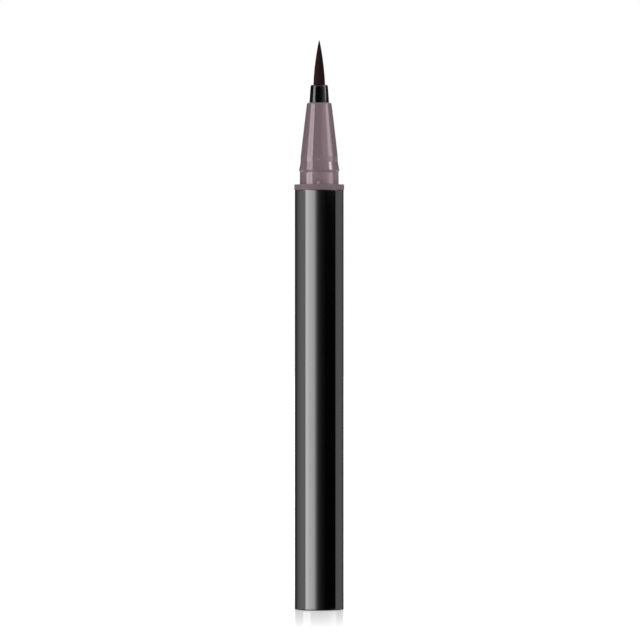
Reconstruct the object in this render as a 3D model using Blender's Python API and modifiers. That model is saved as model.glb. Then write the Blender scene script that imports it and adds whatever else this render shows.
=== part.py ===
"""Liquid eyeliner pen with a brush tip, its cap off, standing on its tail.

Run with: blender --background --python part.py
Metres, +Z up. The origin is on the pen's axis, on the surface that the pen stands on.

The barrel is a plain tube. The tail plug snaps into its foot and carries the ink tank. The front
section snaps into its mouth and presses the collector, a finned feed that evens out the flow of
ink, down onto the tank's rim. A fibre relay core runs from the tank through the collector to the
root of the brush. The brush sits in the holder, which is pushed up into the nose of the front
section from inside, and a bush holds its root there. A loose steel ball in the tank stirs the ink.
"""

import math

import bmesh
import bpy
from mathutils import Matrix, Vector

MM = 0.001

# Barrel: a tube, open at both ends
BARREL_LENGTH = 88.3 * MM
BARREL_RADIUS = 5.1 * MM
BARREL_WALL = 0.75 * MM
BARREL_FOOT_ROUND = 0.2 * MM
BARREL_MOUTH_ROUND = 0.08 * MM

# Gaps between pieces, and how far a cutter runs past what it cuts
PRESS_GAP = 0.05 * MM
SLIP_GAP = 0.1 * MM
SEAT_GAP = 0.05 * MM
CUT_OVERRUN = 1.0 * MM

# Snap rings at both ends of the barrel: a ridge on the inner piece, a groove in the barrel
SNAP_RISE = 0.15 * MM
SNAP_LENGTH = 0.9 * MM
SNAP_SETBACK = 2.5 * MM

# Tail plug: a cup that closes the foot of the barrel and carries the tank
PLUG_RECESS = 0.2 * MM
PLUG_FLOOR = 1.0 * MM
PLUG_LENGTH = 6.0 * MM
PLUG_WALL = 0.8 * MM
PLUG_EDGE_ROUND = 0.15 * MM

# Ink tank: a closed-end tube of natural plastic
TANK_WALL = 0.6 * MM
TANK_FLOOR = 0.8 * MM
TANK_FOOT_ROUND = 0.5 * MM
TANK_CORNER_ROUND = 0.4 * MM
BALL_RADIUS = 1.5 * MM

# Collector: a flange on the tank's rim, a plug below it and fins above it
COLLECTOR_FLANGE = 1.0 * MM
COLLECTOR_PLUG_LENGTH = 4.5 * MM
COLLECTOR_CHAMFER = 0.3 * MM
FIN_THICKNESS = 0.4 * MM
FIN_GAP = 0.5 * MM
INK_SLIT_WIDTH = 0.3 * MM
VENT_WIDTH = 1.0 * MM
VENT_DEPTH = 0.6 * MM
SEAL_RADIUS = 0.4 * MM
SEAL_SETBACK = 1.0 * MM

# Relay core: a fibre rod from the tank to the root of the brush
CORE_RADIUS = 0.75 * MM
CORE_TAIL = 5.0 * MM
CORE_CHAMFER = 0.15 * MM

# Front section: skirt in the barrel, flange, neck with a bead for the cap, cone and nose
SKIRT_LENGTH = 8.0 * MM
SKIRT_WALL = 1.0 * MM
SKIRT_CHAMFER = 0.2 * MM
FLANGE_OVERHANG = 0.13 * MM
FLANGE_THICKNESS = 1.03 * MM
FLANGE_ROUND = 0.2 * MM
CAP_STEP = 1.02 * MM
NECK_LENGTH = 3.07 * MM
NECK_ROUND = 0.15 * MM
BEAD_RISE = 0.14 * MM
BEAD_ROUND = 0.3 * MM
BEAD_UNDERSIDE = 0.53 * MM
BEAD_RAMP = 1.47 * MM
CONE_LENGTH = 12.66 * MM
CONE_INSET = 0.12 * MM
NOSE_WALL = 0.56 * MM
NOSE_ROUND = 0.3 * MM
SECTION_WALL = 0.78 * MM
SHOULDER_DEPTH = 6.3 * MM

# Ribs on the neck that grip the cap, the first one turned a little from the front
RIB_COUNT = 3
RIB_WIDTH = 0.5 * MM
RIB_RISE = 0.1 * MM
RIB_LENGTH = 4.8 * MM
RIB_ROUND = 0.06 * MM
RIB_ROOT_SHARE = 0.5
RIB_TURN = math.radians(-95)

# Brush holder: the short black sleeve at the nose
HOLDER_EXPOSED = 3.76 * MM
HOLDER_WALL = 0.5 * MM
HOLDER_TAPER = 0.23 * MM
HOLDER_ROUND = 0.4 * MM
HOLDER_MOUTH_DEPTH = 5.4 * MM
HOLDER_FLANGE = 1.0 * MM

# Brush: hairs fused to a root plate, and the bush behind it
BRUSH_EXPOSED = 9.38 * MM
BRUSH_RADIUS = 1.19 * MM
BRUSH_GAP = 0.06 * MM
ROOT_LEDGE = 0.33 * MM
ROOT_THICKNESS = 0.8 * MM
BUSH_LENGTH = 3.0 * MM

# Hairs: drawn together from the holder's mouth on, then side by side for the last share
HAIR_COUNT = 300
HAIR_RADIUS = 0.045 * MM
HAIR_SINK = 0.4 * MM
HAIR_SIDES = 3
GOLDEN_ANGLE = math.pi * (3 - math.sqrt(5))
TIP_CURVE = 1.5
TIP_SPREAD_SHARE = 0.5

# Faces round a turned piece, and along a right-angled round
OUTER_SIDES = 48
INNER_SIDES = 32
FIN_SIDES = 18
BALL_SIDES = 16
SEAL_SECTION_SIDES = 8
ROUND_STEPS = 2
SHARP_ANGLE = math.radians(35)
MERGE_WITHIN = 0.0005 * MM

# Radii that follow from the sizes above, from the barrel inwards
barrel_bore = BARREL_RADIUS - BARREL_WALL
snap_groove = barrel_bore + SNAP_RISE + PRESS_GAP
plug_radius = barrel_bore - PRESS_GAP
tank_radius = barrel_bore - SLIP_GAP
tank_bore = tank_radius - TANK_WALL
neck_radius = BARREL_RADIUS - CAP_STEP
cone_radius = neck_radius - CONE_INSET
section_bore = min(plug_radius - SKIRT_WALL, neck_radius - SECTION_WALL)
fin_radius = section_bore - SLIP_GAP

# Radii from the brush outwards
holder_bore = BRUSH_RADIUS + BRUSH_GAP
holder_mouth_radius = holder_bore + HOLDER_WALL
holder_radius = holder_mouth_radius + HOLDER_TAPER
root_radius = BRUSH_RADIUS + ROOT_LEDGE
holder_socket = root_radius + PRESS_GAP
nose_bore = holder_radius + PRESS_GAP
nose_radius = nose_bore + NOSE_WALL
core_bore = CORE_RADIUS + PRESS_GAP

# Heights of the seats above the surface that the pen stands on
section_seat = BARREL_LENGTH + SEAT_GAP
flange_top = section_seat + FLANGE_THICKNESS
bead_height = flange_top + NECK_LENGTH
cone_foot = bead_height + BEAD_RAMP
nose_top = cone_foot + CONE_LENGTH
mouth_top = nose_top + HOLDER_EXPOSED
collector_seat = section_seat - SKIRT_LENGTH - SEAT_GAP - COLLECTOR_FLANGE
tank_seat = PLUG_RECESS + PLUG_LENGTH + SEAT_GAP
shoulder = nose_top - SHOULDER_DEPTH
holder_seat = shoulder - SEAT_GAP - HOLDER_FLANGE
root_seat = mouth_top - HOLDER_MOUTH_DEPTH - SEAT_GAP - ROOT_THICKNESS
bush_seat = root_seat - SEAT_GAP - BUSH_LENGTH
core_seat = collector_seat - COLLECTOR_PLUG_LENGTH - CORE_TAIL
ball_seat = tank_seat + TANK_FLOOR + SEAT_GAP + BALL_RADIUS
ball_travel = core_seat - SEAT_GAP - BALL_RADIUS - ball_seat


def cone_radius_at(height):
    """The front section's outer radius at a height between the foot of its cone and its nose."""
    return cone_radius + (nose_radius - cone_radius) * (height - cone_foot) / CONE_LENGTH


shoulder_radius = cone_radius_at(shoulder) - SECTION_WALL


def clear_scene():
    for obj in list(bpy.data.objects):
        bpy.data.objects.remove(obj)


def new_collection(name):
    collection = bpy.data.collections.new(name)
    bpy.context.scene.collection.children.link(collection)
    return collection


def new_material(name, colour, roughness, metallic=0.0):
    material = bpy.data.materials.new(name)
    material.use_nodes = True
    shader = material.node_tree.nodes["Principled BSDF"]
    shader.inputs["Base Color"].default_value = (*colour, 1)
    shader.inputs["Roughness"].default_value = roughness
    shader.inputs["Metallic"].default_value = metallic
    return material


def put_in(collection, obj):
    for other in list(obj.users_collection):
        other.objects.unlink(obj)
    collection.objects.link(obj)


def rounded(corners, closed):
    """The corners as points, with an arc at each corner that has a third value, its radius."""
    points = []
    for i, (radius, height, *rounding) in enumerate(corners):
        at = Vector((radius, height))
        inside = closed or 0 < i < len(corners) - 1
        if not (rounding and inside):
            points.append(at)
            continue
        before = Vector(corners[i - 1][:2]) - at
        after = Vector(corners[(i + 1) % len(corners)][:2]) - at
        half_angle = before.angle(after) / 2
        reach = min(rounding[0] / math.tan(half_angle), before.length / 2, after.length / 2)
        arc_radius = reach * math.tan(half_angle)
        centre = at + (before.normalized() + after.normalized()).normalized() * (
            arc_radius / math.sin(half_angle)
        )
        start = at + before.normalized() * reach - centre
        sweep = start.angle_signed(at + after.normalized() * reach - centre)
        for step in range(ROUND_STEPS + 1):
            turn = Matrix.Rotation(-sweep * step / ROUND_STEPS, 2)
            points.append(centre + turn @ start)
    return points


def turned(name, seat, corners, sides, material, closed=False):
    """A turned piece: its outline down the outer side, as radius and height over its seat."""
    points = rounded(corners, closed)
    edges = [(i, i + 1) for i in range(len(points) - 1)]
    if closed:
        edges.append((len(points) - 1, 0))
    mesh = bpy.data.meshes.new(name)
    mesh.from_pydata([(p.x, 0, p.y) for p in points], edges, [])
    mesh.materials.append(material)
    obj = bpy.data.objects.new(name, mesh)
    obj.location.z = seat
    obj.parent = pen_axis
    pen.objects.link(obj)
    screw = obj.modifiers.new("Turn", "SCREW")
    screw.axis = "Z"
    screw.angle = 2 * math.pi
    screw.steps = sides
    screw.render_steps = sides
    screw.use_merge_vertices = True
    screw.merge_threshold = MERGE_WITHIN
    return obj


def block(name, low, high):
    """A box between two corners, as a helper for a Boolean."""
    bpy.ops.mesh.primitive_cube_add(size=1)
    obj = bpy.context.object
    obj.name = name
    low, high = Vector(low), Vector(high)
    size = high - low
    obj.data.transform(Matrix.Translation((low + high) / 2) @ Matrix.Diagonal((*size, 1)))
    obj.hide_render = True
    obj.display_type = "WIRE"
    put_in(helpers, obj)
    return obj


def combine(obj, other, operation):
    boolean = obj.modifiers.new(other.name, "BOOLEAN")
    boolean.operation = operation
    boolean.solver = "EXACT"
    boolean.object = other


def settle(obj):
    """Makes the shape that the modifiers give the object's own mesh, shaded smooth up to sharp edges."""
    bpy.context.view_layer.update()
    evaluated = obj.evaluated_get(bpy.context.evaluated_depsgraph_get())
    mesh = bpy.data.meshes.new_from_object(evaluated)
    mesh.name = obj.name
    obj.modifiers.clear()
    obj.data = mesh
    mesh.shade_smooth()
    mesh.set_sharp_from_angle(angle=SHARP_ANGLE)


def snap_groove_corners(middle):
    """A groove in the barrel's bore for a snap ridge, on the way up."""
    half = SNAP_LENGTH / 2 + SEAT_GAP
    slope = SNAP_RISE + PRESS_GAP
    return [
        (barrel_bore, middle - half - slope),
        (snap_groove, middle - half),
        (snap_groove, middle + half),
        (barrel_bore, middle + half + slope),
    ]


def snap_ridge_corners(middle):
    """A ridge round a pressed-in piece, on the way down, with sloping flanks."""
    half = SNAP_LENGTH / 2
    return [
        (plug_radius, middle + half),
        (plug_radius + SNAP_RISE, middle + half - SNAP_RISE),
        (plug_radius + SNAP_RISE, middle - half + SNAP_RISE),
        (plug_radius, middle - half),
    ]


def make_barrel(material):
    corners = [
        (BARREL_RADIUS, BARREL_LENGTH, BARREL_MOUTH_ROUND),
        (BARREL_RADIUS, 0, BARREL_FOOT_ROUND),
        (barrel_bore, 0, BARREL_MOUTH_ROUND),
        *snap_groove_corners(SNAP_SETBACK),
        *snap_groove_corners(BARREL_LENGTH - SNAP_SETBACK),
        (barrel_bore, BARREL_LENGTH, BARREL_MOUTH_ROUND),
    ]
    return turned("barrel", 0, corners, OUTER_SIDES, material, closed=True)


def make_tail_plug(material):
    cup_radius = plug_radius - PLUG_WALL
    corners = [
        (0, PLUG_FLOOR),
        (cup_radius, PLUG_FLOOR, PLUG_EDGE_ROUND),
        (cup_radius, PLUG_LENGTH),
        (plug_radius, PLUG_LENGTH, PLUG_EDGE_ROUND),
        *snap_ridge_corners(SNAP_SETBACK - PLUG_RECESS),
        (plug_radius, 0, PLUG_EDGE_ROUND),
        (0, 0),
    ]
    return turned("tail_plug", PLUG_RECESS, corners, OUTER_SIDES, material)


def make_tank(material):
    length = collector_seat - SEAT_GAP - tank_seat
    corners = [
        (0, TANK_FLOOR),
        (tank_bore, TANK_FLOOR, TANK_CORNER_ROUND),
        (tank_bore, length),
        (tank_radius, length),
        (tank_radius, 0, TANK_FOOT_ROUND),
        (0, 0),
    ]
    return turned("ink_tank", tank_seat, corners, INNER_SIDES, material)


def make_mixing_ball(material):
    bpy.ops.mesh.primitive_uv_sphere_add(
        segments=BALL_SIDES, ring_count=BALL_SIDES // 2, radius=BALL_RADIUS
    )
    ball = bpy.context.object
    ball.name = "mixing_ball"
    ball.location.z = ball_seat
    ball.parent = pen_axis
    ball.data.materials.append(material)
    put_in(pen, ball)
    return ball


def fin_corners():
    """The collector's fins from the top one down, as far up as the straight bore goes."""
    pitch = FIN_THICKNESS + FIN_GAP
    room = bead_height - collector_seat - COLLECTOR_FLANGE
    corners = []
    for i in reversed(range(int(room / pitch))):
        underside = COLLECTOR_FLANGE + FIN_GAP + i * pitch
        corners += [
            (root_radius, underside + FIN_THICKNESS),
            (fin_radius, underside + FIN_THICKNESS),
            (fin_radius, underside),
            (root_radius, underside),
        ]
    return corners


def make_collector(material):
    plug = tank_bore - PRESS_GAP
    ring_radius = plug - SEAL_RADIUS
    groove = ring_radius - SEAL_RADIUS - PRESS_GAP
    groove_top = -SEAL_SETBACK
    groove_foot = groove_top - 2 * (SEAL_RADIUS + SEAT_GAP)
    nose = bush_seat - SEAT_GAP - collector_seat
    corners = [
        (root_radius, nose),
        *fin_corners(),
        (root_radius, COLLECTOR_FLANGE),
        (tank_radius, COLLECTOR_FLANGE),
        (tank_radius, 0),
        (plug, 0),
        (plug, groove_top),
        (groove, groove_top),
        (groove, groove_foot),
        (plug, groove_foot),
        (plug, COLLECTOR_CHAMFER - COLLECTOR_PLUG_LENGTH),
        (plug - COLLECTOR_CHAMFER, -COLLECTOR_PLUG_LENGTH),
        (core_bore, -COLLECTOR_PLUG_LENGTH),
        (core_bore, nose),
    ]
    collector = turned("collector", collector_seat, corners, FIN_SIDES, material, closed=True)

    # The slit leads ink from the core to the gaps between the fins, and the vent leads air past them
    fins_foot = collector_seat + COLLECTOR_FLANGE + FIN_GAP / 2
    reach = fin_radius + CUT_OVERRUN
    slit = block(
        "ink_slit",
        (core_bore / 2, -INK_SLIT_WIDTH / 2, fins_foot),
        (reach, INK_SLIT_WIDTH / 2, bead_height),
    )
    vent = block(
        "air_vent",
        (-reach, -VENT_WIDTH / 2, fins_foot),
        (VENT_DEPTH - fin_radius, VENT_WIDTH / 2, bead_height),
    )
    combine(collector, slit, "DIFFERENCE")
    combine(collector, vent, "DIFFERENCE")
    return collector


def make_seal(material):
    bpy.ops.mesh.primitive_torus_add(
        major_radius=tank_bore - PRESS_GAP - SEAL_RADIUS,
        minor_radius=SEAL_RADIUS,
        major_segments=FIN_SIDES,
        minor_segments=SEAL_SECTION_SIDES,
    )
    seal = bpy.context.object
    seal.name = "collector_seal"
    seal.location.z = collector_seat - SEAL_SETBACK - SEAT_GAP - SEAL_RADIUS
    seal.parent = pen_axis
    seal.data.materials.append(material)
    put_in(pen, seal)
    return seal


def make_relay_core(material):
    length = root_seat - SEAT_GAP - core_seat
    corners = [
        (0, length),
        (CORE_RADIUS - CORE_CHAMFER, length),
        (CORE_RADIUS, length - CORE_CHAMFER),
        (CORE_RADIUS, CORE_CHAMFER),
        (CORE_RADIUS - CORE_CHAMFER, 0),
        (0, 0),
    ]
    return turned("relay_core", core_seat, corners, FIN_SIDES, material)


def make_front_section(material):
    flange_radius = BARREL_RADIUS + FLANGE_OVERHANG
    bead_radius = neck_radius + BEAD_RISE
    ledge = FLANGE_THICKNESS
    bead = bead_height - section_seat
    nose = nose_top - section_seat
    corners = [
        (nose_radius, nose, NOSE_ROUND),
        (cone_radius, cone_foot - section_seat),
        (bead_radius, bead, BEAD_ROUND),
        (neck_radius, bead - BEAD_UNDERSIDE),
        (neck_radius, ledge, NECK_ROUND),
        (flange_radius, ledge, FLANGE_ROUND),
        (flange_radius, 0, FLANGE_ROUND),
        (plug_radius, 0),
        *snap_ridge_corners(-SEAT_GAP - SNAP_SETBACK),
        (plug_radius, SKIRT_CHAMFER - SKIRT_LENGTH),
        (plug_radius - SKIRT_CHAMFER, -SKIRT_LENGTH),
        (section_bore, -SKIRT_LENGTH),
        (section_bore, bead),
        (shoulder_radius, shoulder - section_seat),
        (nose_bore, shoulder - section_seat),
        (nose_bore, nose),
    ]
    section = turned("front_section", section_seat, corners, OUTER_SIDES, material, closed=True)

    rib_root = (neck_radius - section_bore) * RIB_ROOT_SHARE
    for i in range(RIB_COUNT):
        rib = block(
            f"cap_rib_{i + 1}",
            (neck_radius - rib_root, -RIB_WIDTH / 2, flange_top - FLANGE_THICKNESS / 2),
            (neck_radius + RIB_RISE, RIB_WIDTH / 2, flange_top + RIB_LENGTH),
        )
        bevel = rib.modifiers.new("Rounded edges", "BEVEL")
        bevel.width = RIB_ROUND
        bevel.segments = 2
        rib.rotation_euler.z = RIB_TURN + 2 * math.pi * i / RIB_COUNT
        combine(section, rib, "UNION")
    return section


def make_holder(material):
    top = mouth_top - holder_seat
    socket_top = top - HOLDER_MOUTH_DEPTH
    corners = [
        (holder_mouth_radius, top, HOLDER_ROUND),
        (holder_radius, nose_top - holder_seat),
        (holder_radius, HOLDER_FLANGE),
        (shoulder_radius - PRESS_GAP, HOLDER_FLANGE),
        (shoulder_radius - PRESS_GAP, 0),
        (holder_socket, 0),
        (holder_socket, socket_top),
        (holder_bore, socket_top),
        (holder_bore, top),
    ]
    return turned("brush_holder", holder_seat, corners, INNER_SIDES, material, closed=True)


def make_bush(material):
    corners = [
        (root_radius, BUSH_LENGTH),
        (root_radius, 0),
        (core_bore, 0),
        (core_bore, BUSH_LENGTH),
    ]
    return turned("root_bush", bush_seat, corners, FIN_SIDES, material, closed=True)


def spread(share):
    """The hairs' spread, as a share of that in the holder, with a share of their length to go."""
    return 1 - (1 - max(share, TIP_SPREAD_SHARE)) ** TIP_CURVE


def drawn_up(bm, face):
    """The new end face after extruding a hair's end."""
    return bmesh.ops.extrude_discrete_faces(bm, faces=[face])["faces"][0]


def add_hair(bm, number):
    """A straight hair at its place in a sunflower's spiral, with a ring of vertices at its bends.

    The first hair makes the tip, and each later one ends a little lower, down to the second bend.
    """
    mouth = mouth_top - root_seat
    foot = ROOT_THICKNESS - HAIR_SINK
    reach = (BRUSH_RADIUS - HAIR_RADIUS) * math.sqrt((number + 0.5) / HAIR_COUNT)
    turn = number * GOLDEN_ANGLE
    at = Vector((reach * math.cos(turn), reach * math.sin(turn), (foot + mouth) / 2))
    prism = bmesh.ops.create_cone(
        bm,
        cap_ends=True,
        segments=HAIR_SIDES,
        radius1=HAIR_RADIUS,
        radius2=HAIR_RADIUS,
        depth=mouth - foot,
        matrix=Matrix.Translation(at),
    )
    faces = {face for vert in prism["verts"] for face in vert.link_faces}
    top = max(faces, key=lambda face: face.calc_center_median().z)
    end_share = TIP_SPREAD_SHARE * math.sqrt(number / HAIR_COUNT)
    top = drawn_up(bm, top)
    for vert in top.verts:
        vert.co.z = mouth + BRUSH_EXPOSED * (1 - TIP_SPREAD_SHARE)
    top = drawn_up(bm, top)
    at.z = mouth + BRUSH_EXPOSED * (1 - end_share)
    bmesh.ops.pointmerge(bm, verts=top.verts, merge_co=at)


def make_brush(material):
    corners = [
        (0, ROOT_THICKNESS),
        (root_radius, ROOT_THICKNESS),
        (root_radius, 0),
        (0, 0),
    ]
    brush = turned("brush_tip", root_seat, corners, FIN_SIDES, material)

    # The hairs are set straight, and the whole bundle is then drawn in towards its point
    bm = bmesh.new()
    for number in range(HAIR_COUNT):
        add_hair(bm, number)
    for vert in bm.verts:
        out_of_holder = vert.co.z + root_seat - mouth_top
        vert.co.xy *= spread(min(1, 1 - out_of_holder / BRUSH_EXPOSED))
    mesh = bpy.data.meshes.new("hairs")
    bm.to_mesh(mesh)
    bm.free()
    hairs = bpy.data.objects.new("hairs", mesh)
    hairs.location.z = root_seat
    hairs.hide_render = True
    hairs.display_type = "WIRE"
    helpers.objects.link(hairs)
    combine(brush, hairs, "UNION")
    return brush


clear_scene()
pen = new_collection("liquid_eyeliner_pen")
helpers = new_collection("cutters")
pen_axis = bpy.data.objects.new("pen_axis", None)
pen.objects.link(pen_axis)

gloss_black = new_material("gloss_black", (0.012, 0.012, 0.013), 0.12)
satin_black = new_material("satin_black", (0.01, 0.01, 0.011), 0.3)
mauve = new_material("mauve_plastic", (0.19, 0.138, 0.155), 0.28)
natural = new_material("natural_plastic", (0.75, 0.74, 0.7), 0.35)
feed_white = new_material("feed_plastic", (0.6, 0.6, 0.58), 0.4)
fibre = new_material("inked_fibre", (0.12, 0.06, 0.05), 0.8)
hair_brown = new_material("inked_hair", (0.035, 0.017, 0.017), 0.35)
rubber = new_material("seal_rubber", (0.03, 0.03, 0.03), 0.6)
steel = new_material("steel", (0.6, 0.6, 0.62), 0.15, metallic=1.0)

pieces = [
    make_barrel(gloss_black),
    make_tail_plug(satin_black),
    make_tank(natural),
    make_mixing_ball(steel),
    make_collector(feed_white),
    make_seal(rubber),
    make_relay_core(fibre),
    make_front_section(mauve),
    make_holder(satin_black),
    make_bush(natural),
    make_brush(hair_brown),
]
for piece in pieces:
    settle(piece)
print(f"the ball rests at {ball_seat / MM:.3f} mm and travels {ball_travel / MM:.3f} mm")
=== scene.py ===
"""Liquid eyeliner pen with a brush tip, its cap off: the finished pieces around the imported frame.

Run as a script in Blender 4.5. Metres, +Z up. The origin is the frame's: on the pen's axis, on the
surface that the pen stands on.

Turned pieces are spun from an outline whose corners are bevelled. The brush is a bundle of hairs
round a soaked core. The pieces inside the barrel keep their frame shapes and get their finishes
here. The studio is a world of soft light strips over a pale floor.
"""

import math
import random

import bmesh
import bpy
from mathutils import Matrix, Vector


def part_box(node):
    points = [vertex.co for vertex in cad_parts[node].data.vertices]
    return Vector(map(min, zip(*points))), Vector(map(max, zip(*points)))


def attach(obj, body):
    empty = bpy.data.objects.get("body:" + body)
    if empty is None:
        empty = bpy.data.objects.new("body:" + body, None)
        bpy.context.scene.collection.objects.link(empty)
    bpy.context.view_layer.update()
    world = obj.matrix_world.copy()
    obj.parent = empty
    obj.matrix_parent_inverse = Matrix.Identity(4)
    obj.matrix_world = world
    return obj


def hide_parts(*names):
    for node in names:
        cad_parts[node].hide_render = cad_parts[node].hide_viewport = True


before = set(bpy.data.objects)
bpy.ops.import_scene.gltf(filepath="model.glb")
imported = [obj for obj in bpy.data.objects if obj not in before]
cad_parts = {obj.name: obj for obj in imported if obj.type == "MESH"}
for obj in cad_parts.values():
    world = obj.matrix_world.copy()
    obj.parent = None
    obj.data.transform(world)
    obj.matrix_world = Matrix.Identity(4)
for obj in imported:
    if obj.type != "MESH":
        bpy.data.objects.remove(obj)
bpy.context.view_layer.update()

bl_info = {
    "name": "Liquid eyeliner pen",
    "version": (1, 0, 0),
    "blender": (4, 5, 0),
    "location": "3D View > Sidebar > Eyeliner pen",
    "description": "Makes the finished pieces, studio and camera of a liquid eyeliner pen",
    "category": "Add Mesh",
}

MM = 0.001
BODY = "pen"

# Faces round a turned piece, and along a bevelled corner
OUTER_SIDES = 192
SECTION_SIDES = 288
SLIM_SIDES = 96
ROUND_STEPS = 5

# How near to an arc a point keeps the straight side's shading, from which angle an edge shows as
# one, and how near to each other points merge
HOLD = 0.04 * MM
SHARP_ANGLE = math.radians(35)
MERGE_WITHIN = 1e-7

# Snap rings at both ends of the barrel, the gap that pressed pieces keep, and the visible seam
SNAP_RISE = 0.15 * MM
SNAP_LENGTH = 0.9 * MM
SNAP_SETBACK = 2.5 * MM
PRESS_GAP = 0.05 * MM
SEAM = 0.01 * MM

# Where the frame's pieces start and end
barrel_low, barrel_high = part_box("barrel")
plug_low, plug_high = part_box("tail_plug")
section_low, section_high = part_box("front_section")
holder_low, holder_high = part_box("brush_holder")
brush_low, brush_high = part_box("brush_tip")


def distance(name, description, default):
    return bpy.props.FloatProperty(
        name=name, description=description, default=default, min=0, unit="LENGTH", precision=5
    )


def tint(name, description, default):
    return bpy.props.FloatVectorProperty(
        name=name, description=description, default=default, min=0, max=1, subtype="COLOR"
    )


class BarrelSettings(bpy.types.PropertyGroup):
    length: distance("Length", "From the barrel's foot to its mouth", barrel_high.z - 0.1 * MM)
    radius: distance("Radius", "Outer radius of the barrel", barrel_high.x + 0.02 * MM)
    wall: distance("Wall", "Thickness of the barrel's wall", 0.75 * MM)
    foot_round: distance("Foot round", "Rounding of the barrel's outer foot edge", 0.2 * MM)
    edge_round: distance("Edge round", "Rounding of the barrel's other edges", 0.05 * MM)
    colour: tint("Colour", "Colour of the gloss black plastic", (0.001, 0.001, 0.0011))


class TailPlugSettings(bpy.types.PropertyGroup):
    wall: distance("Wall", "Thickness of the cup's side wall", 0.8 * MM)
    floor: distance("Floor", "Thickness of the cup's floor", 1.0 * MM)
    edge_round: distance("Edge round", "Rounding of the plug's edges", 0.15 * MM)
    gate_radius: distance("Gate radius", "Radius of the moulding gate's dimple", 0.7 * MM)
    ring_radius: distance("Ring radius", "Radius of the groove round the gate", 2.9 * MM)
    colour: tint("Colour", "Colour of the satin black plastic", (0.01, 0.01, 0.011))


class FrontSectionSettings(bpy.types.PropertyGroup):
    flange_thickness: distance("Flange thickness", "Height of the flange's edge", 1.17 * MM)
    flange_round: distance("Flange round", "Rounding of the flange's edges", 0.06 * MM)
    neck_radius: distance("Neck radius", "Radius that the cap slides over", 4.07 * MM)
    neck_length: distance("Neck length", "From the flange to the bead's crest", 3.01 * MM)
    bead_rise: distance("Bead rise", "Height of the cap's snap bead over the neck", 0.185 * MM)
    ramp_length: distance("Ramp length", "From the bead's crest to the land", 1.71 * MM)
    land_radius: distance("Land radius", "Radius where the ramp meets the land", 3.945 * MM)
    land_length: distance("Land length", "Length of the land at the cone's foot", 1.15 * MM)
    cone_radius: distance("Cone radius", "Radius at the cone's foot", 3.92 * MM)
    nose_radius: distance("Nose radius", "Radius at the nose", 2.58 * MM)
    neck_draft: distance("Neck draft", "How much the neck narrows upwards", 0.03 * MM)
    fullness: distance("Fullness", "How far the cone's side swells at its middle", 0.024 * MM)
    nose_bore: distance("Nose bore", "Radius of the bore that holds the brush holder", 2.12 * MM)
    bore: distance("Bore", "Radius of the wide bore", 3.3 * MM)
    shoulder_radius: distance("Shoulder radius", "Radius of the inner shoulder", 2.49 * MM)
    shoulder_depth: distance("Shoulder depth", "From the nose to the inner shoulder", 6.3 * MM)
    pip_rise: distance("Pip rise", "Height of the pips that steady the cap", 0.18 * MM)
    colour: tint("Colour", "Colour of the mauve plastic", (0.16, 0.1135, 0.1285))


class HolderSettings(bpy.types.PropertyGroup):
    radius: distance("Radius", "Outer radius where it leaves the nose", 2.09 * MM)
    mouth_radius: distance("Mouth radius", "Outer radius at its mouth", 1.82 * MM)
    mouth_round: distance("Mouth round", "Rounding of the outer mouth edge", 0.38 * MM)
    bore: distance("Bore", "Radius of the bore round the hairs", 1.29 * MM)
    socket_radius: distance("Socket radius", "Radius of the socket for the root plate", 1.57 * MM)
    mouth_depth: distance("Mouth depth", "Depth of the bore round the hairs", 5.4 * MM)
    flange: distance("Flange", "Thickness of the flange under the shoulder", 1.0 * MM)
    colour: tint("Colour", "Colour of the black plastic", (0.0015, 0.0015, 0.0016))


class BrushSettings(bpy.types.PropertyGroup):
    radius: distance("Radius", "Radius of the bundle of hairs in the holder", 1.25 * MM)
    exposed: distance("Exposed length", "Length of the hairs out of the holder", 9.38 * MM)
    root_thickness: distance("Root thickness", "Thickness of the fused root plate", 0.8 * MM)
    hair_count: bpy.props.IntProperty(
        name="Hairs", description="Number of hairs in the brush", default=1200, min=100
    )
    hair_radius: distance("Hair radius", "Radius of a hair in the holder", 0.024 * MM)
    belly: bpy.props.FloatProperty(
        name="Belly", description="How full the brush is over its mouth", default=1.45, min=1
    )
    point: bpy.props.FloatProperty(
        name="Point", description="How full the brush is below its point", default=1.7, min=1
    )
    blunt: bpy.props.FloatProperty(
        name="Blunt", description="Width of the point as a share of the brush's", default=0.05, min=0
    )
    colour: tint("Colour", "Colour of the inked hairs", (0.036, 0.0133, 0.015))


class InnerPartsSettings(bpy.types.PropertyGroup):
    natural: tint("Natural plastic", "Colour of the tank and the bush", (0.75, 0.74, 0.7))
    feed: tint("Feed plastic", "Colour of the collector", (0.6, 0.6, 0.58))
    ink: tint("Ink", "Colour of the ink where it stains", (0.03, 0.012, 0.012))
    fibre: tint("Fibre", "Colour of the relay core", (0.12, 0.06, 0.05))
    rubber: tint("Rubber", "Colour of the seal", (0.03, 0.03, 0.03))
    steel: tint("Steel", "Colour of the mixing ball", (0.6, 0.6, 0.62))


class StudioSettings(bpy.types.PropertyGroup):
    camera_distance: distance("Camera distance", "From the camera to the pen's axis", 1.45)
    camera_height: distance("Camera height", "Height of the camera over the floor", 60.9 * MM)
    camera_offset: distance("Camera offset", "How far the camera stands right", 0.16 * MM)
    lens: bpy.props.FloatProperty(
        name="Lens", description="Focal length", default=388, min=1, unit="CAMERA"
    )
    floor_radius: distance("Floor radius", "Radius of the pale floor", 6.0)
    dome_level: bpy.props.FloatProperty(
        name="Dome level", description="Radiance of the dome round the top", default=1.2, min=0
    )
    zenith_level: bpy.props.FloatProperty(
        name="Zenith level", description="Radiance from straight above", default=0.2, min=0
    )


SETTINGS = {
    "barrel": BarrelSettings,
    "tail_plug": TailPlugSettings,
    "front_section": FrontSectionSettings,
    "brush_holder": HolderSettings,
    "brush": BrushSettings,
    "inner_parts": InnerPartsSettings,
    "studio": StudioSettings,
}


def settings_of(group):
    return getattr(bpy.context.scene, f"pen_{group}")


# Shaders


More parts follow.
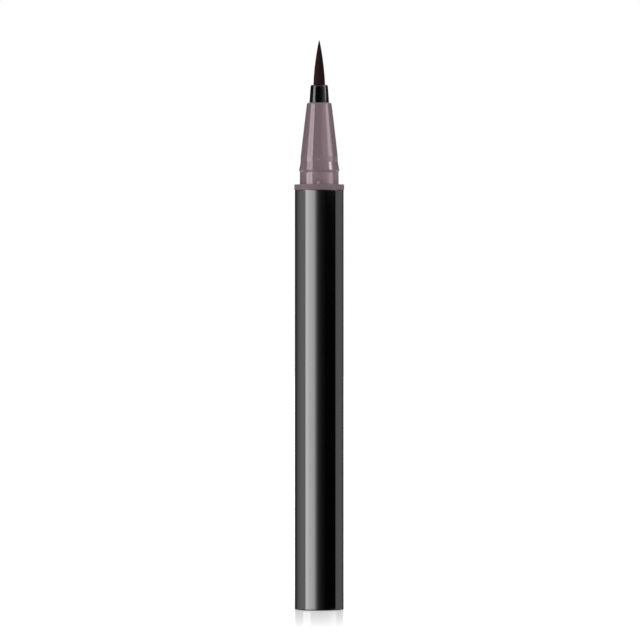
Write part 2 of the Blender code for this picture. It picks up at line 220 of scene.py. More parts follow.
class Signal:
    """An output of a shader tree. Sums on it add the Math nodes that work them out."""

    def __init__(self, tree, socket):
        self.tree = tree
        self.socket = socket

    def maths(self, operation, *values):
        inputs = dict(enumerate(values))
        return self.tree.add("ShaderNodeMath", {"operation": operation}, inputs)["Value"]

    def __add__(self, other):
        return self.maths("ADD", self, other)

    def __sub__(self, other):
        return self.maths("SUBTRACT", self, other)

    def __rsub__(self, other):
        return self.maths("SUBTRACT", other, self)

    def __mul__(self, other):
        return self.maths("MULTIPLY", self, other)

    def __truediv__(self, other):
        return self.maths("DIVIDE", self, other)

    def __rtruediv__(self, other):
        return self.maths("DIVIDE", other, self)

    __radd__ = __add__
    __rmul__ = __mul__


def in_use(sockets):
    """The enabled sockets by name, the first one where a name comes twice."""
    return {socket.name: socket for socket in reversed(list(sockets)) if socket.enabled}


def set_stops(ramp, stops):
    """Gives a colour ramp its stops, each a place and a level of grey."""
    while len(ramp.elements) > 1:
        ramp.elements.remove(ramp.elements[-1])
    ramp.elements[0].position = stops[0][0]
    for place, _ in stops[1:]:
        ramp.elements.new(place)
    for element, (_, level) in zip(ramp.elements, stops):
        element.color = (level, level, level, 1)


class Tree:
    """The nodes of a material or a world."""

    def __init__(self, owner):
        owner.use_nodes = True
        self.nodes = owner.node_tree.nodes
        self.links = owner.node_tree.links
        self.nodes.clear()

    def add(self, kind, settings=None, inputs=None):
        """Adds a node: its settings first, then its inputs' values or links. Returns its outputs."""
        node = self.nodes.new(kind)
        for name, value in (settings or {}).items():
            if name == "stops":
                set_stops(node.color_ramp, value)
            else:
                setattr(node, name, value)
        for key, value in (inputs or {}).items():
            socket = node.inputs[key] if isinstance(key, int) else in_use(node.inputs)[key]
            if isinstance(value, Signal):
                self.links.new(value.socket, socket)
            elif socket.type == "RGBA":
                socket.default_value = (*value, 1)
            else:
                socket.default_value = value
        return {name: Signal(self, socket) for name, socket in in_use(node.outputs).items()}

    def ease(self, value, low, high, first=0.0, last=1.0):
        """Goes softly from first to last while the value goes from low to high."""
        ends = {"From Min": low, "From Max": high, "To Min": first, "To Max": last}
        settings = {"interpolation_type": "SMOOTHSTEP"}
        return self.add("ShaderNodeMapRange", settings, {"Value": value, **ends})["Result"]

    def blend(self, factor, first, last):
        """A colour between two."""
        inputs = {"Factor": factor, "A": first, "B": last}
        return self.add("ShaderNodeMix", {"data_type": "RGBA"}, inputs)["Result"]

    def place(self, stretch=(1, 1, 1)):
        """The place on the piece, stretched for a pattern."""
        here = self.add("ShaderNodeTexCoord")["Object"]
        return self.add("ShaderNodeMapping", None, {"Vector": here, "Scale": stretch})["Vector"]

    def noise(self, grain, detail=2.0, stretch=(1, 1, 1)):
        """Noise round 0.5 whose features are about a grain across, in metres."""
        inputs = {"Vector": self.place(stretch), "Scale": 1 / grain, "Detail": detail}
        return self.add("ShaderNodeTexNoise", None, inputs)["Fac"]


def new_material(name, make):
    """A material whose tree the make function fills: it returns the shader's inputs."""
    material = bpy.data.materials.new(name)
    tree = Tree(material)
    inputs = make(tree)
    if "Relief" in inputs:
        relief = {"Height": inputs.pop("Relief"), "Distance": inputs.pop("Relief depth")}
        inputs["Normal"] = tree.add("ShaderNodeBump", None, relief)["Normal"]
    shader = tree.add("ShaderNodeBsdfPrincipled", None, inputs)
    tree.add("ShaderNodeOutputMaterial", None, {"Surface": shader["BSDF"]})
    return material


def gloss_plastic(colour):
    """Lacquered black plastic: faint wipe marks in the gloss and a scuffed foot edge."""

    def make(tree):
        height = tree.add("ShaderNodeSeparateXYZ", None, {"Vector": tree.place()})["Z"]
        wiped = tree.ease(tree.noise(9 * MM, 3.0, (1, 1, 0.35)), 0.5, 0.75)
        scuffed = tree.ease(height, 0.1 * MM, 0.9 * MM, 1.0, 0.0) * tree.noise(0.15 * MM, 3.0)
        return {
            "Base Color": tree.blend(scuffed, colour, [3 * part for part in colour]),
            "Roughness": 0.035 + 0.02 * wiped + 0.15 * scuffed,
            "IOR": 1.6,
            "Coat Weight": 1.0,
            "Coat Roughness": 0.02,
            "Relief": tree.noise(1.6 * MM, 1.0),
            "Relief depth": 0.0002 * MM,
        }

    return make


def satin_plastic(colour, roughness):
    """Black plastic from a lightly eroded mould."""

    def make(tree):
        pores = tree.noise(0.05 * MM, 3.0)
        worn = tree.ease(tree.noise(1.2 * MM), 0.35, 0.7)
        return {
            "Base Color": tree.blend(worn, colour, [1.25 * part for part in colour]),
            "Roughness": roughness + 0.05 * worn + 0.04 * pores,
            "IOR": 1.5,
            "Relief": pores,
            "Relief depth": 0.0006 * MM,
        }

    return make


def mauve_plastic(colour, ledge):
    """Glossy mauve plastic with faint flow marks along its length, and matt below the ledge."""

    def make(tree):
        height = tree.add("ShaderNodeSeparateXYZ", None, {"Vector": tree.place()})["Z"]
        flow = tree.ease(tree.noise(1.5 * MM, 3.0, (1, 1, 0.2)), 0.3, 0.7)
        pores = tree.noise(0.07 * MM, 3.0)
        darker = [0.72 * part for part in colour]
        matt = tree.ease(height, ledge - 0.08 * MM, ledge + 0.07 * MM, 1.0, 0.0)
        return {
            "Base Color": tree.blend(0.8 * matt + 0.15 * flow, colour, darker),
            "Roughness": 0.06 + 0.02 * flow + 0.02 * pores + 0.55 * matt,
            "IOR": 1.6,
            "Specular Tint": (1.0, 0.87, 0.92),
            "Relief": pores,
            "Relief depth": 0.0002 * MM,
        }

    return make


def natural_plastic(colour, ink):
    """Milky plastic with flow marks, a little darkened by the ink behind it."""

    def make(tree):
        flow = tree.ease(tree.noise(2.5 * MM, 4.0, (1, 1, 0.15)), 0.3, 0.75)
        return {
            "Base Color": tree.blend(0.25 * flow, colour, ink),
            "Roughness": 0.3 + 0.12 * flow,
            "Relief": tree.noise(0.2 * MM, 3.0),
            "Relief depth": 0.001 * MM,
        }

    return make


def feed_plastic(colour, ink):
    """Pale moulded plastic, stained by ink in patches."""

    def make(tree):
        stain = tree.ease(tree.noise(1.4 * MM, 5.0, (1, 1, 0.6)), 0.48, 0.6)
        return {
            "Base Color": tree.blend(stain, colour, ink),
            "Roughness": 0.45 - 0.2 * stain,
            "Relief": tree.noise(0.12 * MM, 3.0),
            "Relief depth": 0.001 * MM,
        }

    return make


def inked_fibre(colour, ink):
    """A rod of bonded fibres that run along it, soaked with ink."""

    def make(tree):
        strands = tree.noise(0.06 * MM, 3.0, (1, 1, 0.04))
        soaked = tree.ease(tree.noise(3 * MM, 2.0), 0.3, 0.7)
        return {
            "Base Color": tree.blend(0.4 + 0.5 * soaked * strands, colour, ink),
            "Roughness": 0.85 - 0.3 * soaked,
            "Relief": strands,
            "Relief depth": 0.01 * MM,
        }

    return make


def seal_rubber(colour):
    """Moulded rubber with a dusty bloom."""

    def make(tree):
        bloom = tree.ease(tree.noise(0.3 * MM, 4.0), 0.4, 0.75)
        return {
            "Base Color": tree.blend(0.3 * bloom, colour, (0.2, 0.2, 0.2)),
            "Roughness": 0.55 + 0.2 * bloom,
            "Relief": tree.noise(0.04 * MM, 3.0),
            "Relief depth": 0.001 * MM,
        }

    return make


def polished_steel(colour):
    """Steel with fine tumbling scratches."""

    def make(tree):
        scratches = tree.ease(tree.noise(0.03 * MM, 4.0, (1, 0.1, 1)), 0.55, 0.7)
        return {
            "Base Color": tree.blend(0.4 * scratches, colour, [0.7 * part for part in colour]),
            "Metallic": 1.0,
            "Roughness": 0.1 + 0.2 * scratches,
            "Relief": scratches,
            "Relief depth": 0.0004 * MM,
        }

    return make


def inked_hairs(colour):
    """Nylon hairs soaked with ink, drier in streaks. Clumps have tones, the front ones lighter as a
    painted highlight, and the core the darkest.
    """

    def make(tree):
        tone = tree.add("ShaderNodeAttribute", {"attribute_name": "tone"})["Fac"]
        streaks = tree.ease(tree.noise(0.09 * MM, 3.0, (1, 1, 0.06)), 0.35, 0.7)
        dark = [0.3 * part for part in colour]
        light = [1.8 * part for part in colour]
        return {
            "Base Color": tree.blend(0.8 * tone + 0.2 * streaks, dark, light),
            "Roughness": 0.45 + 0.2 * streaks,
            "Specular IOR Level": 0.05,
            "Relief": streaks,
            "Relief depth": 0.003 * MM,
        }

    return make


# Shapes


def round_corner(bm, vert, radius):
    """Bevels an outline's corner to an arc, as far as its two edges leave room.

    A point close to each end of the arc holds the shading of the straight side straight.
    """
    sides = [edge.other_vert(vert).co - vert.co for edge in vert.link_edges]
    reach = radius / math.tan(sides[0].angle(sides[1]) / 2)
    arc = bmesh.ops.bevel(
        bm,
        geom=[vert],
        offset=min(reach, *(0.75 * side.length for side in sides)),
        offset_type="OFFSET",
        segments=ROUND_STEPS,
        profile=0.5,
        affect="VERTICES",
        material=-1,
    )["verts"]
    for end in arc:
        for edge in end.link_edges[:]:
            if edge.other_vert(end) not in arc and edge.calc_length() > 3 * HOLD:
                bmesh.utils.edge_split(edge, end, HOLD / edge.calc_length())


def turned(corners, sides, closed=False):
    """A turned shape. A corner is its radius, its height and, where it is rounded, the radius."""
    bm = bmesh.new()
    verts = [bm.verts.new((radius, 0, height)) for radius, height, *_ in corners]
    for pair in zip(verts, verts[1:]):
        bm.edges.new(pair)
    if closed:
        bm.edges.new((verts[-1], verts[0]))
    for vert, (_, _, *rounding) in zip(verts, corners):
        if rounding:
            round_corner(bm, vert, rounding[0])
    bmesh.ops.spin(
        bm,
        geom=bm.verts[:] + bm.edges[:],
        axis=(0, 0, 1),
        angle=math.tau,
        steps=sides,
        use_merge=True,
    )
    bmesh.ops.remove_doubles(bm, verts=bm.verts[:], dist=MERGE_WITHIN)
    bmesh.ops.recalc_face_normals(bm, faces=bm.faces[:])
    return bm


def new_piece(name, bm, material, nodes, sharp=True):
    """Makes a piece of a finished mesh, which rides on the pen and stands for frame nodes."""
    mesh = bpy.data.meshes.new(name)
    bm.to_mesh(mesh)
    bm.free()
    mesh.shade_smooth()
    if sharp:
        mesh.set_sharp_from_angle(angle=SHARP_ANGLE)
    mesh.materials.append(material)
    piece = bpy.data.objects.new(name, mesh)
    bpy.context.scene.collection.objects.link(piece)
    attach(piece, BODY)
    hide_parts(*nodes)


def snap_ring(radius, middle, rise):
    """A ring on the way up: a groove in a bore where the rise is outward, with sloping flanks."""
    half = SNAP_LENGTH / 2 + PRESS_GAP
    return [
        (radius, middle - half - rise),
        (radius + rise, middle - half),
        (radius + rise, middle + half),
        (radius, middle + half + rise),
    ]


def snap_ridge(radius, middle):
    """A ridge round a pressed-in piece, on the way down, with sloping flanks."""
    half = SNAP_LENGTH / 2
    return [
        (radius, middle + half),
        (radius + SNAP_RISE, middle + half - SNAP_RISE),
        (radius + SNAP_RISE, middle - half + SNAP_RISE),
        (radius, middle - half),
    ]


def barrel_shape(barrel):
    bore = barrel.radius - barrel.wall
    groove = SNAP_RISE + PRESS_GAP
    corners = [
        (barrel.radius, barrel.length, barrel.edge_round),
        (barrel.radius, 0, barrel.foot_round),
        (bore, 0, barrel.edge_round),
        *snap_ring(bore, SNAP_SETBACK, groove),
        *snap_ring(bore, barrel.length - SNAP_SETBACK, groove),
        (bore, barrel.length, barrel.edge_round),
    ]
    return turned(corners, OUTER_SIDES, closed=True)


def tail_plug_shape(plug, radius):
    """The cup, with the moulding gate's dimple and nib and a shallow ring under its floor."""
    foot, top = plug_low.z, plug_high.z
    cup = radius - plug.wall
    shallow = 0.08 * MM
    nib = 0.35 * plug.gate_radius
    corners = [
        (0, foot + plug.floor),
        (cup, foot + plug.floor, plug.edge_round),
        (cup, top, plug.edge_round),
        (radius, top, plug.edge_round),
        *snap_ridge(radius, SNAP_SETBACK),
        (radius, foot, plug.edge_round),
        (plug.ring_radius + shallow, foot),
        (plug.ring_radius, foot + shallow),
        (plug.ring_radius - shallow, foot),
        (plug.gate_radius, foot, shallow),
        (plug.gate_radius - shallow, foot + 2 * shallow, shallow),
        (nib, foot + 2 * shallow),
        (nib, foot + shallow, shallow / 2),
        (0, foot + shallow),
    ]
    return turned(corners, OUTER_SIDES)


# Marks round the front section: how many, the first one's turn, the cuts across half a mark, and
# how near to the neck's radius a wall is raised
MARK_COUNT = 3
MARK_TURN = math.radians(-91.5)
MARK_ROWS = 6
MARK_REACH = 0.25 * MM
CONE_STEPS = 8


def swell(share):
    """Falls softly from 1 at no share to 0 at a full share, either way."""
    return 0.5 + 0.5 * math.cos(math.pi * min(abs(share), 1))


def raise_marks(bm, marks, wall_radius):
    """Raises soft marks on the wall: each has its height, half height, half width and rise."""
    pitch = math.tau / MARK_COUNT
    for height, half_height, half_width, rise in marks:
        for step in range(-MARK_ROWS, MARK_ROWS + 1):
            bmesh.ops.bisect_plane(
                bm,
                geom=bm.verts[:] + bm.edges[:] + bm.faces[:],
                dist=MERGE_WITHIN,
                plane_co=(0, 0, height + half_height * step / MARK_ROWS),
                plane_no=(0, 0, 1),
            )
        for vert in bm.verts:
            radius = vert.co.xy.length
            if abs(radius - wall_radius) < MARK_REACH:
                turn = math.atan2(vert.co.y, vert.co.x) - MARK_TURN
                aside = radius * (turn - round(turn / pitch) * pitch)
                above = max(abs(vert.co.z - height) - half_height + half_width, 0)
                vert.co.xy *= 1 + rise * swell(math.hypot(aside, above) / half_width) / radius


def press_radius(barrel):
    """Outer radius of what is pressed into the barrel."""
    return barrel.radius - barrel.wall - PRESS_GAP


def ledge_height(section, barrel):
    """The flange's upper face, which the cap sits on."""
    return barrel.length + SEAM + section.flange_thickness


def front_section_shape(section, barrel):
    skirt_radius, flange_radius = press_radius(barrel), section_high.x
    bead_radius = section.neck_radius + section.bead_rise
    foot, nose = section_low.z, section_high.z
    seat = barrel.length + SEAM
    ledge = ledge_height(section, barrel)
    bead = ledge + section.neck_length
    underside = bead - 0.35 * MM
    land = bead + section.ramp_length
    cone_foot = land + section.land_length
    shoulder = nose - section.shoulder_depth
    chamfer = 0.2 * MM
    fillet = 0.08 * MM
    easing = 0.6 * MM
    bead_round = 0.15 * MM
    nose_round = 0.4 * MM
    bore_round = 0.1 * MM

    def cone_side(share):
        straight = section.cone_radius + (section.nose_radius - section.cone_radius) * share
        fuller = 4 * section.fullness * share * (1 - share)
        return straight + fuller, cone_foot + (nose - cone_foot) * share

    corners = [
        (section.nose_radius, nose, nose_round),
        *(cone_side(step / CONE_STEPS) for step in range(CONE_STEPS - 1, 0, -1)),
        (section.cone_radius, cone_foot, easing),
        (section.land_radius, land, easing),
        (bead_radius, bead, bead_round),
        (section.neck_radius - section.neck_draft / 2, underside, easing),
        (section.neck_radius + section.neck_draft / 2, ledge, fillet),
        (flange_radius, ledge, section.flange_round),
        (flange_radius, seat, section.flange_round),
        (skirt_radius, seat),
        *snap_ridge(skirt_radius, barrel.length - SNAP_SETBACK),
        (skirt_radius, foot + chamfer),
        (skirt_radius - chamfer, foot),
        (section.bore, foot),
        (section.bore, bead),
        (section.shoulder_radius, shoulder),
        (section.nose_bore, shoulder),
        (section.nose_bore, nose, bore_round),
    ]
    bm = turned(corners, SECTION_SIDES, closed=True)

    # A pip at the neck's foot, a faint rib over it and a smaller pip on the land
    rise = section.pip_rise
    rib_half = (underside - ledge) / 2 - fillet
    foot_pip = (ledge + 0.2 * MM, 0.6 * MM, 0.4 * MM, rise)
    rib = (ledge + fillet + rib_half, rib_half, 0.26 * MM, 0.12 * rise)
    land_pip = (land + 0.3 * MM, 0.28 * MM, 0.28 * MM, 0.6 * rise)
    raise_marks(bm, [foot_pip, rib, land_pip], section.neck_radius)
    return bm


def holder_shape(holder):
    seat, top = holder_low.z, holder_high.z
    nose = section_high.z
    socket_top = top - holder.mouth_depth
    flange_top = seat + holder.flange
    edge_round = 0.1 * MM
    bore_round = 0.06 * MM
    corners = [
        (holder.mouth_radius, top, holder.mouth_round),
        (holder.radius, nose),
        (holder.radius, flange_top, edge_round),
        (holder_high.x, flange_top, edge_round),
        (holder_high.x, seat, edge_round),
        (holder.socket_radius, seat, edge_round),
        (holder.socket_radius, socket_top),
        (holder.bore, socket_top),
        (holder.bore, top, bore_round),
    ]
    return turned(corners, SLIM_SIDES, closed=True)


# The brush: a golden-angle spiral of hairs, which clump as they are drawn up to the point
GOLDEN_ANGLE = math.pi * (3 - math.sqrt(5))
HAIR_SIDES = 3
HAIR_STEP_SHARES = (0.17, 0.34, 0.51, 0.67, 0.82, 0.93, 1.0)
CLUMPS = 17
PATH_SEED = 7
# The seed of the clumps' tones is picked so the clumps at the front come out lighter: a painted
# highlight down the middle of the brush, over tones that otherwise differ at random.
TONE_AND_FRONT_HIGHLIGHT_SEED = 6137

# The middle hairs reach the very point. The inner and the outer ones end short of it by up to these
# shares of their length.
FULL_HAIRS = 12
INNER_SHARE = 0.8
INNER_SHORT_SHARE = 0.45
OUTER_SHORT_SHARE = 0.16

# The soaked core fills this share of the bundle's radius, and ends a little under the point
CORE_SHARE = 0.96
CORE_STEPS = 20
CORE_DROP = 0.1 * MM
ROOT_ROUND = 0.05 * MM


def spread(brush, share):
    """The bundle's radius as a share of that in the holder, with a share of its length to go."""
    drawn = (1 - share) ** (brush.point + (brush.belly - brush.point) * share)
    return 1 - (1 - brush.blunt) * drawn


def hair_paths(brush, mouth, foot):
    """For each hair its places, as radius, turn, height and thickness, from the root to its end."""
    rng = random.Random(PATH_SEED)
    pitch = math.tau / CLUMPS
    paths = []
    for number in range(brush.hair_count):
        reach = (brush.radius - brush.hair_radius) * math.sqrt((number + 0.5) / brush.hair_count)
        turn = number * GOLDEN_ANGLE % math.tau
        lean = (round(turn / pitch) * pitch - turn) * rng.uniform(0.2, 0.6)
        inner = reach < INNER_SHARE * brush.radius
        short = INNER_SHORT_SHARE if inner else OUTER_SHORT_SHARE
        end = 0.0 if number < FULL_HAIRS else short * rng.random() ** 2
        wander = rng.uniform(-0.05, 0.05)
        bow = rng.uniform(-0.012, 0.012)
        path = [(reach, turn, foot, 1.0), (reach, turn, mouth, 1.0)]
        for step in HAIR_STEP_SHARES:
            share = 1 - step * (1 - end)
            drawn = 1 - share
            radius = reach * (spread(brush, share) + bow * math.sin(math.pi * step))
            slim = (0.35 + 0.65 * share) * (1 - step**6 * 0.5)
            height = mouth + brush.exposed * drawn
            path.append((max(radius, 0), turn + (lean + wander) * drawn, height, slim))
        paths.append(path)
    return paths


def hairs_shape(brush):
    """Every hair is extruded from a short prism along its path and closed at its end."""
    mouth = brush_high.z - brush.exposed
    foot = brush_low.z + brush.root_thickness / 2
    paths = hair_paths(brush, mouth, foot)
    rng = random.Random(TONE_AND_FRONT_HIGHLIGHT_SEED)
    # Tones of the clumps, from a seed that makes the front ones lighter: a painted highlight.
    clump_tones_and_highlight = [rng.random() for _ in range(CLUMPS)]
    bm = bmesh.new()
    number_of = bm.faces.layers.int.new("hair")
    tone_of = bm.verts.layers.float.new("tone")

    def at(radius, turn, height):
        return Vector((radius * math.cos(turn), radius * math.sin(turn), height))

    tops = []
    for number, path in enumerate(paths):
        (radius, turn, low, _), (_, _, high, _) = path[:2]
        prism = bmesh.ops.create_cone(
            bm,
            cap_ends=True,
            segments=HAIR_SIDES,
            radius1=brush.hair_radius,
            radius2=brush.hair_radius,
            depth=high - low,
            matrix=Matrix.Translation(at(radius, turn, (low + high) / 2))
            @ Matrix.Rotation(turn, 4, "Z"),
        )
        clump = round(turn / math.tau * CLUMPS) % CLUMPS
        tone = 0.7 * clump_tones_and_highlight[clump] + 0.3 * rng.random()
        for vert in prism["verts"]:
            vert[tone_of] = tone
        faces = {face for vert in prism["verts"] for face in vert.link_faces}
        top = max(faces, key=lambda face: face.calc_center_median().z)
        top[number_of] = number
        tops.append(top)
    for step in range(2, len(HAIR_STEP_SHARES) + 2):
        tops = bmesh.ops.extrude_discrete_faces(bm, faces=tops)["faces"]
        for face in tops:
            path = paths[face[number_of]]
            radius, turn, height, slim = path[step]
            slimmer = slim / path[step - 1][3]
            middle = face.calc_center_median()
            for vert in face.verts:
                vert.co = at(radius, turn, height) + (vert.co - middle) * slimmer
    bmesh.ops.collapse(bm, edges=list({edge for face in tops for edge in face.edges}))
    return bm


def core_shape(brush):
    """The root plate and the ink-soaked inside of the bundle, drawn up to the same point."""
    mouth = brush_high.z - brush.exposed
    foot = brush_low.z
    plate = foot + brush.root_thickness
    inner = brush.radius * CORE_SHARE
    corners = [(0, brush_high.z - CORE_DROP)]
    for step in range(1, CORE_STEPS):
        share = step / CORE_STEPS
        corners.append((inner * spread(brush, share), brush_high.z - brush.exposed * share))
    corners += [
        (inner, mouth),
        (inner, plate),
        (brush_high.x, plate, ROOT_ROUND),
        (brush_high.x, foot, ROOT_ROUND),
        (0, foot),
    ]
    return turned(corners, SLIM_SIDES)


# Studio. Azimuth is measured from the front, positive to the camera's left.

# A band of light has a level at each azimuth, up to the peak. The low band is the lowest, and each
# of the others takes over between two elevations.
PEAK = 10.0
LOW_BAND = [
    (-165, 0.1),
    (-150, 0.6),
    (-130, 0.9),
    (-120, 0.15),
    (-97, 0.1),
    (-90, 1.0),
    (-76, 1.0),
    (-69, 0.1),
    (-20, 0.05),
    (34, 0.1),
    (46, 1.3),
    (66, 1.8),
    (71, 0.4),
    (110, 0.15),
    (122, 0.9),
    (150, 0.6),
    (165, 0.1),
]
BARREL_BAND = [
    (-158, 0.0),
    (-148, 0.1),
    (-135, 0.24),
    (-114, 0.46),
    (-88, 0.64),
    (-81, 0.0),
    (-31, 0.0),
    (-20, 0.03),
    (-11, 0.06),
    (-3, 0.12),
    (4, 0.27),
    (9, 0.46),
    (13, 1.0),
    (17.5, 1.8),
    (25, 3.4),
    (38, 3.9),
    (50, 4.3),
    (58, 4.8),
    (67, 4.8),
    (70, 1.05),
    (88, 1.0),
    (108, 0.6),
    (126, 0.26),
    (138, 0.08),
    (153, 0.02),
    (160, 0.0),
]
NECK_BAND = [
    (-94, 0.4),
    (-88, 3.0),
    (-78, 4.3),
    (-69, 4.0),
    (-62, 3.4),
    (-55, 2.6),
    (-49, 1.85),
    (-36, 1.25),
    (-24, 1.15),
    (-12, 0.8),
    (0, 0.7),
    (40, 0.4),
    (43, 7.4),
    (51, 6.0),
    (60, 4.3),
    (70, 5.4),
    (79, 7.2),
    (84, 0.1),
]
LAND_BAND = [
    (-92, 0.1),
    (-87, 1.6),
    (-79, 2.5),
    (-71, 1.9),
    (-57, 1.3),
    (-50, 1.05),
    (-37, 0.75),
    (-24, 0.55),
    (-12, 0.25),
    (-4, 0.1),
    (42, 0.1),
    (44, 4.9),
    (78, 4.7),
    (84, 0.1),
]
HOLDER_BAND = [
    (-97, 0.0),
    (-93, 4.4),
    (-79, 4.4),
    (-73, 1.6),
    (-66, 1.1),
    (-53, 0.5),
    (-39, 0.22),
    (-25, 0.1),
    (-15, 0.0),
    (49, 0.0),
    (54, 5.4),
    (79, 5.4),
    (83, 0.0),
]
CONE_BAND = [
    (-105, 0.1),
    (-91, 0.2),
    (-87, 1.0),
    (-82, 4.1),
    (-66, 4.2),
    (-60, 2.7),
    (-55, 1.4),
    (-50, 1.2),
    (-38, 1.05),
    (-25, 0.85),
    (-18, 0.45),
    (-12, 0.1),
    (-6, 0.0),
    (41, 0.0),
    (43, 5.1),
    (50, 4.8),
    (58, 3.9),
    (77, 4.5),
    (83, 0.1),
]
RAMP_BAND = [
    (-91, 0.1),
    (-86, 2.9),
    (-79, 3.8),
    (-75, 10.0),
    (-66, 10.0),
    (-60, 1.0),
    (-35, 0.7),
    (-24, 0.3),
    (-6, 0.05),
    (40, 0.05),
    (42, 4.6),
    (50, 4.4),
    (58, 3.3),
    (77, 3.8),
    (83, 0.1),
]
BANDS = [
    ((-6.0, -5.0), BARREL_BAND),
    ((1.3, 1.8), NECK_BAND),
    ((2.7, 3.0), LAND_BAND),
    ((5.2, 6.0), HOLDER_BAND),
    ((9.9, 10.6), CONE_BAND),
    ((15.2, 16.4), RAMP_BAND),
]
DOME_FROM = (26, 34)
ZENITH_FROM = (50, 62)

# The white wall behind the pen starts where a direction points this far back and rises this much
WALL_FROM = (0.93, 0.97)
WALL_RISE = (1.3, 1.8)


def light_studio(studio):
    """Soft strips beside a dark front low down, an even dome overhead and a white wall behind."""
    world = bpy.data.worlds.new("studio")
    bpy.context.scene.world = world
    tree = Tree(world)
    direction = tree.add("ShaderNodeTexCoord")["Generated"]
    along = tree.add("ShaderNodeSeparateXYZ", None, {"Vector": direction})
    turn = along["X"].maths("ARCTAN2", 0 - along["X"], 0 - along["Y"]) / math.tau + 0.5
    rise = along["Z"].maths("ARCSINE", along["Z"]) * math.degrees(1)

    def strips(levels):
        stops = [(0.5 + azimuth / 360, level / PEAK) for azimuth, level in levels]
        return tree.add("ShaderNodeValToRGB", {"stops": stops}, {"Fac": turn})["Color"]

    light = strips(LOW_BAND)
    for edge, levels in BANDS:
        light = tree.blend(tree.ease(rise, *edge), light, strips(levels))
    white = [1 / PEAK] * 3
    light = tree.blend(tree.ease(rise, *DOME_FROM), light, [studio.dome_level / PEAK] * 3)
    light = tree.blend(tree.ease(rise, *ZENITH_FROM), light, [studio.zenith_level / PEAK] * 3)
    behind = tree.ease(along["Y"], *WALL_FROM) * tree.ease(rise, *WALL_RISE)
    light = tree.blend(behind, light, white)
    seen = tree.add("ShaderNodeLightPath")["Is Camera Ray"]
    inputs = {"Color": tree.blend(seen, light, white), "Strength": PEAK}
    background = tree.add("ShaderNodeBackground", None, inputs)["Background"]
    tree.add("ShaderNodeOutputWorld", None, {"Surface": background})


# The floor lies a little under the pen's foot, and is polished most at the pen
FLOOR_DROP = 0.02 * MM
POLISH_REACH = 140 * MM
POLISH = 0.59


def floor_material():
    """A pale table lit from below too, with a faint polish round the pen."""
    material = bpy.data.materials.new("pale_floor")
    tree = Tree(material)
    here = tree.add("ShaderNodeTexCoord")["Object"]
    away = tree.add("ShaderNodeVectorMath", {"operation": "LENGTH"}, {"Vector": here})["Value"]
    grazing = tree.add("ShaderNodeFresnel", None, {"IOR": 1.45})["Fac"]
    polish = tree.ease(away, 0.0, POLISH_REACH, POLISH, 0.0) * grazing
    matt = tree.add("ShaderNodeBsdfDiffuse", None, {"Color": (0.93, 0.93, 0.93)})["BSDF"]
    glow = tree.add("ShaderNodeEmission", None, {"Color": (1, 1, 1), "Strength": 1.6})["Emission"]
    gloss_inputs = {"Color": (1, 1, 1), "Roughness": 0.08}
    gloss = tree.add("ShaderNodeBsdfAnisotropic", None, gloss_inputs)["BSDF"]
    lit = tree.add("ShaderNodeMixShader", None, {"Fac": 0.5, 1: matt, 2: glow})["Shader"]
    surface = tree.add("ShaderNodeMixShader", None, {"Fac": polish, 1: lit, 2: gloss})["Shader"]
    tree.add("ShaderNodeOutputMaterial", None, {"Surface": surface})
    return material


def lay_floor(studio):
    bm = bmesh.new()
    bmesh.ops.create_circle(
        bm,
        cap_ends=True,
        segments=OUTER_SIDES,
        radius=studio.floor_radius,
        matrix=Matrix.Translation((0, 0, -FLOOR_DROP)),
    )
    mesh = bpy.data.meshes.new("floor")
    bm.to_mesh(mesh)
    bm.free()
    mesh.materials.append(floor_material())
    floor = bpy.data.objects.new("floor", mesh)
    bpy.context.scene.collection.objects.link(floor)
    floor.visible_glossy = False


def place_camera(studio):
    camera = bpy.data.objects.new("camera", bpy.data.cameras.new("camera"))
    camera.data.lens = studio.lens
    camera.data.clip_end = 100
    camera.location = (studio.camera_offset, -studio.camera_distance, studio.camera_height)
    camera.rotation_euler = (math.radians(90), 0, 0)
    bpy.context.scene.collection.objects.link(camera)
    bpy.context.scene.camera = camera


# Operators


class PEN_OT_make_barrel(bpy.types.Operator):
    """Make the gloss black barrel"""

    bl_idname = "pen.make_barrel"
    bl_label = "Make barrel"

    def execute(self, context):
        barrel = settings_of("barrel")
        material = new_material("gloss_plastic", gloss_plastic(barrel.colour[:]))
        new_piece("barrel_tube", barrel_shape(barrel), material, ["barrel"])
        return {"FINISHED"}


class PEN_OT_make_tail_plug(bpy.types.Operator):
    """Make the plug that closes the foot of the barrel"""

    bl_idname = "pen.make_tail_plug"
    bl_label = "Make tail plug"

    def execute(self, context):
        barrel, plug = settings_of("barrel"), settings_of("tail_plug")
        bm = tail_plug_shape(plug, press_radius(barrel))
        material = new_material("plug_plastic", satin_plastic(plug.colour[:], 0.28))
        new_piece("tail_plug_cup", bm, material, ["tail_plug"])
        return {"FINISHED"}


class PEN_OT_make_front_section(bpy.types.Operator):
    """Make the mauve front section with its neck, bead, pips, cone and nose"""

    bl_idname = "pen.make_front_section"
    bl_label = "Make front section"

    def execute(self, context):
        barrel, section = settings_of("barrel"), settings_of("front_section")
        bm = front_section_shape(section, barrel)
        finish = mauve_plastic(section.colour[:], ledge_height(section, barrel))
        material = new_material("mauve_plastic", finish)
        new_piece("grip_section", bm, material, ["front_section"])
        return {"FINISHED"}


class PEN_OT_make_brush_holder(bpy.types.Operator):
    """Make the short black sleeve that holds the brush"""

    bl_idname = "pen.make_brush_holder"
    bl_label = "Make brush holder"

    def execute(self, context):
        holder = settings_of("brush_holder")
        finish = satin_plastic(holder.colour[:], 0.04)
        material = new_material("holder_plastic", finish)
        new_piece("brush_sleeve", holder_shape(holder), material, ["brush_holder"])
        return {"FINISHED"}


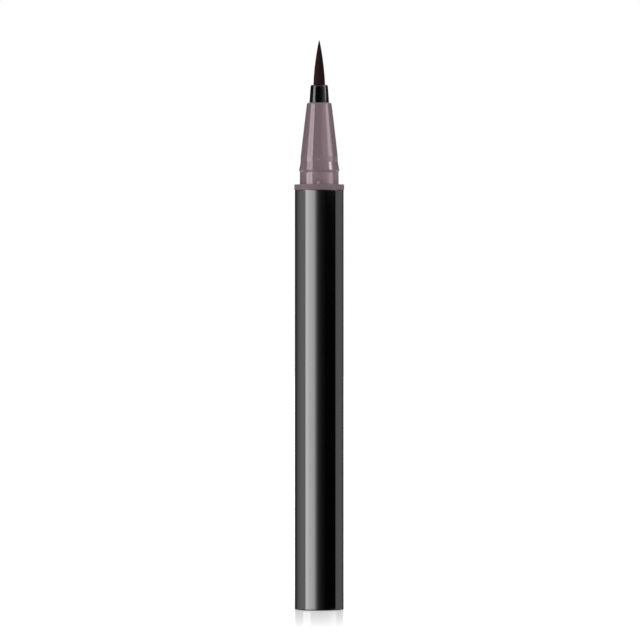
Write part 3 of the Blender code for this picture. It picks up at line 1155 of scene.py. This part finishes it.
class PEN_OT_make_brush(bpy.types.Operator):
    """Make the brush: its hairs, and the soaked core on its root plate"""

    bl_idname = "pen.make_brush"
    bl_label = "Make brush"

    def execute(self, context):
        brush = settings_of("brush")
        hairs = new_material("inked_hairs", inked_hairs(brush.colour[:]))
        core = new_material("soaked_core", inked_hairs([0.7 * part for part in brush.colour]))
        new_piece("brush_core", core_shape(brush), core, ["brush_tip"])
        new_piece("brush_hairs", hairs_shape(brush), hairs, ["brush_tip"], sharp=False)
        return {"FINISHED"}


class PEN_OT_finish_inner_parts(bpy.types.Operator):
    """Give the pieces inside the barrel their finishes"""

    bl_idname = "pen.finish_inner_parts"
    bl_label = "Finish inner parts"

    def execute(self, context):
        parts = settings_of("inner_parts")
        ink = parts.ink[:]
        finishes = {
            "ink_tank": natural_plastic(parts.natural[:], ink),
            "root_bush": natural_plastic(parts.natural[:], ink),
            "collector": feed_plastic(parts.feed[:], ink),
            "relay_core": inked_fibre(parts.fibre[:], ink),
            "collector_seal": seal_rubber(parts.rubber[:]),
            "mixing_ball": polished_steel(parts.steel[:]),
        }
        for node, finish in finishes.items():
            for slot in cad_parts[node].material_slots:
                slot.material = new_material(f"{node}_finish", finish)
        return {"FINISHED"}


class PEN_OT_set_up_studio(bpy.types.Operator):
    """Lay the floor, light the studio and place the camera"""

    bl_idname = "pen.set_up_studio"
    bl_label = "Set up studio"

    def execute(self, context):
        studio = settings_of("studio")
        lay_floor(studio)
        light_studio(studio)
        place_camera(studio)
        context.scene.view_settings.view_transform = "Standard"
        return {"FINISHED"}


OPERATORS = (
    PEN_OT_make_barrel,
    PEN_OT_make_tail_plug,
    PEN_OT_make_front_section,
    PEN_OT_make_brush_holder,
    PEN_OT_make_brush,
    PEN_OT_finish_inner_parts,
    PEN_OT_set_up_studio,
)


class PEN_PT_pieces(bpy.types.Panel):
    """The pen's pieces and their sizes and colours"""

    bl_idname = "PEN_PT_pieces"
    bl_label = "Liquid eyeliner pen"
    bl_space_type = "VIEW_3D"
    bl_region_type = "UI"
    bl_category = "Eyeliner pen"

    def draw(self, context):
        for operator, (group, kind) in zip(OPERATORS, SETTINGS.items()):
            box = self.layout.box()
            box.operator(operator.bl_idname)
            for name in kind.__annotations__:
                box.prop(settings_of(group), name)


CLASSES = (*SETTINGS.values(), *OPERATORS, PEN_PT_pieces)


def register():
    for cls in CLASSES:
        bpy.utils.register_class(cls)
    for group, kind in SETTINGS.items():
        setattr(bpy.types.Scene, f"pen_{group}", bpy.props.PointerProperty(type=kind))


def unregister():
    for group in SETTINGS:
        delattr(bpy.types.Scene, f"pen_{group}")
    for cls in reversed(CLASSES):
        bpy.utils.unregister_class(cls)


def main():
    register()
    for operator in OPERATORS:
        category, name = operator.bl_idname.split(".")
        getattr(getattr(bpy.ops, category), name)()


if __name__ == "__main__":
    main()
